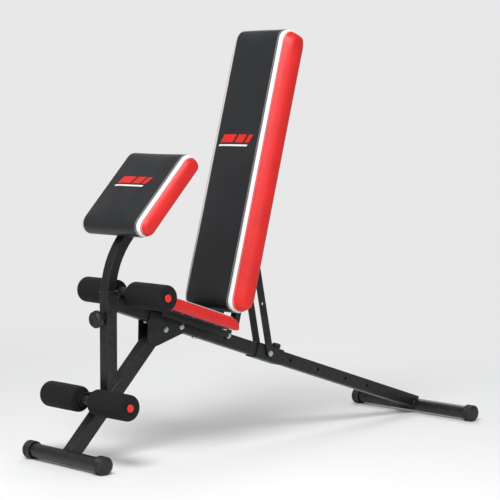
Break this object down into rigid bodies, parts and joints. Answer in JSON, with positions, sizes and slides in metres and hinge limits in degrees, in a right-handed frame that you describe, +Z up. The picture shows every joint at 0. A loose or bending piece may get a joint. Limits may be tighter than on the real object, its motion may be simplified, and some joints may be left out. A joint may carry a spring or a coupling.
{
  "type": "adjustable sit up bench",
  "caption": "Adjustable bench with an upright sliding-pad backrest, sloping seat rail, foam leg rollers and a raised arm curl pad on a front post.",
  "frame": {"origin": "on the floor, midway between the front and the rear foot and on the centre plane", "axes": "+X from the front foot with the rollers to the rear foot, +Y to the left of a person who sits on the bench, +Z up"},
  "size_m": [1.4424, 0.521, 1.2168],
  "materials": {
    "black_steel": "satin",
    "zinc_steel": "satin",
    "black_plastic": "satin",
    "red_plastic": "satin",
    "black_foam": "matte",
    "black_vinyl": "satin",
    "red_vinyl": "satin",
    "white_vinyl": "satin",
    "board": "matte"
  },
  "bodies": {
    "frame": {"axle_plug_lower_left": "red_plastic", "axle_plug_lower_right": "red_plastic", "axle_plug_upper_left": "red_plastic", "axle_plug_upper_right": "red_plastic", "front_foot": "black_steel", "front_foot_cap_left": "black_plastic", "front_foot_cap_right": "black_plastic", "front_leg": "black_steel", "gusset_bolt_leg": "zinc_steel", "gusset_bolt_rail": "zinc_steel", "gusset_plate_left": "black_steel", "gusset_plate_right": "black_steel", "hinge_bolt": "zinc_steel", "lower_axle": "black_steel", "lower_post": "black_steel", "post_boss": "black_steel", "post_spring": "zinc_steel", "rail": "black_steel", "rear_foot": "black_steel", "rear_foot_cap_left": "black_plastic", "rear_foot_cap_right": "black_plastic", "roller_bracket_left": "black_steel", "roller_bracket_right": "black_steel", "roller_sleeve": "black_steel", "seat_board": "board", "seat_bolt_front": "zinc_steel", "seat_bolt_rear": "zinc_steel", "seat_bracket_left": "black_steel", "seat_bracket_right": "black_steel", "seat_pad": "black_vinyl", "upper_axle": "black_steel"},
    "backrest": {"back_rail_left": "black_steel", "back_rail_right": "black_steel", "hinge_ear_left": "black_steel", "hinge_ear_right": "black_steel", "back_crossbar": "black_steel", "back_rail_plug_left": "black_plastic", "back_rail_plug_right": "black_plastic", "strut_bolt": "zinc_steel"},
    "backrest_pad": {"back_pad": "black_vinyl", "back_board": "board", "saddle_lower": "black_plastic", "saddle_upper": "black_plastic"},
    "strut": {"strut_bar_left": "black_steel", "strut_bar_right": "black_steel", "strut_pin_left": "zinc_steel", "strut_pin_right": "zinc_steel"},
    "slider": {"slider_sleeve": "black_steel"},
    "slider_knob": {"slider_knob": "black_plastic", "slider_pin": "zinc_steel"},
    "curl_post": {"curl_tube": "black_steel", "curl_plate": "black_steel", "curl_board": "board", "curl_pad": "black_vinyl"},
    "post_knob": {"post_knob": "black_plastic", "post_pin": "zinc_steel"},
    "roller_upper_left": {"roller_upper_left": "black_foam"},
    "roller_upper_right": {"roller_upper_right": "black_foam"},
    "roller_lower_left": {"roller_lower_left": "black_foam"},
    "roller_lower_right": {"roller_lower_right": "black_foam"}
  },
  "joints": [
    {"name": "backrest_hinge", "type": "hinge", "parent": "frame", "child": "backrest", "pos_m": [-0.12396, 0, 0.31654], "axis": [0, 1, 0], "range_deg": [0, 75.2]},
    {"name": "back_pad_slide", "type": "slide", "parent": "backrest", "child": "backrest_pad", "axis": [-0.2554, 0, -0.9668], "range_m": [0, 0.0831]},
    {"name": "strut_hinge", "type": "hinge", "parent": "backrest", "child": "strut", "pos_m": [-0.04017, 0, 0.63366], "axis": [0, 1, 0], "range_deg": [-106.5, 0]},
    {"name": "slider_slide", "type": "slide", "parent": "frame", "child": "slider", "axis": [0.9496, 0, -0.3134], "range_m": [0, 0.3435]},
    {"name": "slider_knob_pull", "type": "slide", "parent": "slider", "child": "slider_knob", "axis": [0.3134, 0, 0.9496], "range_m": [0, 0.006], "stiffness_N_per_m": 600, "springref_m": -0.004},
    {"name": "curl_post_slide", "type": "slide", "parent": "frame", "child": "curl_post", "axis": [0, 0, 1], "range_m": [0, 0.1]},
    {"name": "post_knob_pull", "type": "slide", "parent": "frame", "child": "post_knob", "axis": [-1, 0, 0], "range_m": [0, 0.01], "stiffness_N_per_m": 400, "springref_m": -0.006, "deforming": ["post_spring"]},
    {"name": "roller_upper_left_spin", "type": "hinge", "parent": "frame", "child": "roller_upper_left", "pos_m": [-0.48556, 0, 0.46272], "axis": [0, 1, 0], "continuous": true},
    {"name": "roller_upper_right_spin", "type": "hinge", "parent": "frame", "child": "roller_upper_right", "pos_m": [-0.48556, 0, 0.46272], "axis": [0, 1, 0], "continuous": true},
    {"name": "roller_lower_left_spin", "type": "hinge", "parent": "frame", "child": "roller_lower_left", "pos_m": [-0.6185, 0, 0.174], "axis": [0, 1, 0], "continuous": true},
    {"name": "roller_lower_right_spin", "type": "hinge", "parent": "frame", "child": "roller_lower_right", "pos_m": [-0.6185, 0, 0.174], "axis": [0, 1, 0], "continuous": true}
  ],
  "couplings": [
    {"joint": "back_pad_slide", "follows": "backrest_hinge", "m_per_rad": 0.063239},
    {"joint": "strut_hinge", "follows": "backrest_hinge", "ratio": -1.4138},
    {"joint": "slider_slide", "follows": "backrest_hinge", "m_per_rad": 0.26156}
  ]
}
